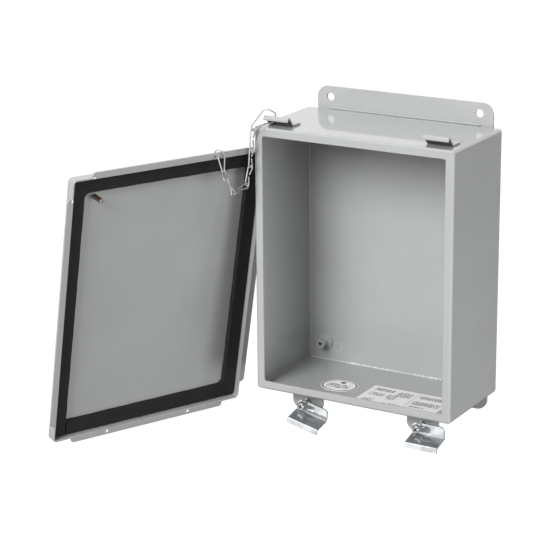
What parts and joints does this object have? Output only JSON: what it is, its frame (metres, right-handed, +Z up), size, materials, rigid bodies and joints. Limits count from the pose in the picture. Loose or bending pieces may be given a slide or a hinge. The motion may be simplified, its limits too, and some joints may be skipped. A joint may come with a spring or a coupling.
{
  "type": "steel wall enclosure",
  "caption": "Sheet steel wall enclosure with a lift-off cover, foam gasket, top hooks, screw clamps below and a retaining chain.",
  "frame": {"origin": "centre of the four wall holes, on the wall plane at the back of the mounting feet", "axes": "+X to the right seen from the front, +Y back into the wall, +Z up"},
  "size_m": [0.3368, 0.2769, 0.312],
  "materials": {
    "painted_steel": "semi-gloss powder paint, light grey",
    "zinc_steel": "bright zinc plate",
    "steel_wire": "drawn wire, bright",
    "gasket_foam": "matt cast foam seal",
    "copper_stud": "copper flashed steel",
    "label_white": "blank vinyl label"
  },
  "bodies": {
    "enclosure": {"enclosure_body": "painted_steel", "upper_mounting_foot": "painted_steel", "lower_mounting_foot": "painted_steel", "upper_foot_weld": "painted_steel", "lower_foot_weld": "painted_steel", "hook_left": "painted_steel", "hook_right": "painted_steel", "clamp_bracket_left": "painted_steel", "clamp_bracket_right": "painted_steel", "clamp_nut_left": "painted_steel", "clamp_nut_right": "painted_steel", "collar_stud_upper_left": "painted_steel", "collar_stud_upper_right": "painted_steel", "collar_stud_lower_left": "painted_steel", "collar_stud_lower_right": "painted_steel", "oval_label": "label_white", "plate_label": "label_white"},
    "lock_washer_left": {"lock_washer_left": "zinc_steel"},
    "clamp_screw_left": {"clamp_screw_left": "zinc_steel"},
    "clamp_left": {"clamp_left": "zinc_steel"},
    "lock_washer_right": {"lock_washer_right": "zinc_steel"},
    "clamp_screw_right": {"clamp_screw_right": "zinc_steel"},
    "clamp_right": {"clamp_right": "zinc_steel"},
    "cover": {"cover_panel": "painted_steel", "cover_gasket": "gasket_foam", "bonding_stud": "copper_stud", "chain_clip_lower": "steel_wire"},
    "chain_clip_upper": {"chain_clip_upper": "steel_wire"},
    "chain_link_1": {"chain_link_1": "steel_wire"},
    "chain_link_2": {"chain_link_2": "steel_wire"},
    "chain_link_3": {"chain_link_3": "steel_wire"},
    "chain_link_4": {"chain_link_4": "steel_wire"},
    "chain_link_5": {"chain_link_5": "steel_wire"}
  },
  "joints": [
    {"name": "clamp_left_travel", "type": "slide", "parent": "enclosure", "child": "lock_washer_left", "axis": [0, 1, 0], "range_m": [0, 0.00317]},
    {"name": "clamp_left_screw_turn", "type": "hinge", "parent": "lock_washer_left", "child": "clamp_screw_left", "pos_m": [-0.061, -0.086, -0.143], "axis": [0, 1, 0], "range_deg": [0, 1440]},
    {"name": "clamp_left_swing", "type": "hinge", "parent": "lock_washer_left", "child": "clamp_left", "pos_m": [-0.061, -0.086, -0.143], "axis": [0, 1, 0], "range_deg": [-30, 165]},
    {"name": "clamp_right_travel", "type": "slide", "parent": "enclosure", "child": "lock_washer_right", "axis": [0, 1, 0], "range_m": [0, 0.00317]},
    {"name": "clamp_right_screw_turn", "type": "hinge", "parent": "lock_washer_right", "child": "clamp_screw_right", "pos_m": [0.061, -0.086, -0.143], "axis": [0, 1, 0], "range_deg": [0, 1440]},
    {"name": "clamp_right_swing", "type": "hinge", "parent": "lock_washer_right", "child": "clamp_right", "pos_m": [0.061, -0.086, -0.143], "axis": [0, 1, 0], "range_deg": [-20, 180]},
    {"name": "cover_swing", "type": "hinge", "parent": "enclosure", "child": "cover", "pos_m": [-0.10993, -0.13861, 0.08384], "axis": [0, 0, 1], "range_deg": [0, 22]},
    {"name": "upper_clip_sway", "type": "hinge", "parent": "enclosure", "child": "chain_clip_upper", "pos_m": [-0.08625, -0.09211, 0.13159], "axis": [-0.5868, -0.7554, -0.2916], "range_deg": [-8, 8]},
    {"name": "chain_link_1_sway", "type": "hinge", "parent": "enclosure", "child": "chain_link_1", "pos_m": [-0.09917, -0.10874, 0.12517], "axis": [-0.0369, -0.0789, -0.9962], "range_deg": [-8, 8]},
    {"name": "chain_link_2_sway", "type": "hinge", "parent": "enclosure", "child": "chain_link_2", "pos_m": [-0.09981, -0.11009, 0.10809], "axis": [-0.0448, -0.0936, -0.9946], "range_deg": [-8, 8]},
    {"name": "chain_link_3_sway", "type": "hinge", "parent": "enclosure", "child": "chain_link_3", "pos_m": [-0.10057, -0.1117, 0.09103], "axis": [-0.0863, -0.2365, -0.9678], "range_deg": [-8, 8]},
    {"name": "chain_link_4_sway", "type": "hinge", "parent": "enclosure", "child": "chain_link_4", "pos_m": [-0.10205, -0.11575, 0.07447], "axis": [-0.2809, -0.9127, -0.2967], "range_deg": [-8, 8]},
    {"name": "chain_link_5_sway", "type": "hinge", "parent": "enclosure", "child": "chain_link_5", "pos_m": [-0.10676, -0.13106, 0.06949], "axis": [-0.1918, -0.4572, 0.8684], "range_deg": [-8, 8]}
  ],
  "couplings": [
    {"joint": "clamp_left_screw_turn", "follows": "clamp_left_travel", "rad_per_m": 7913.3},
    {"joint": "clamp_right_screw_turn", "follows": "clamp_right_travel", "rad_per_m": 7913.3}
  ]
}
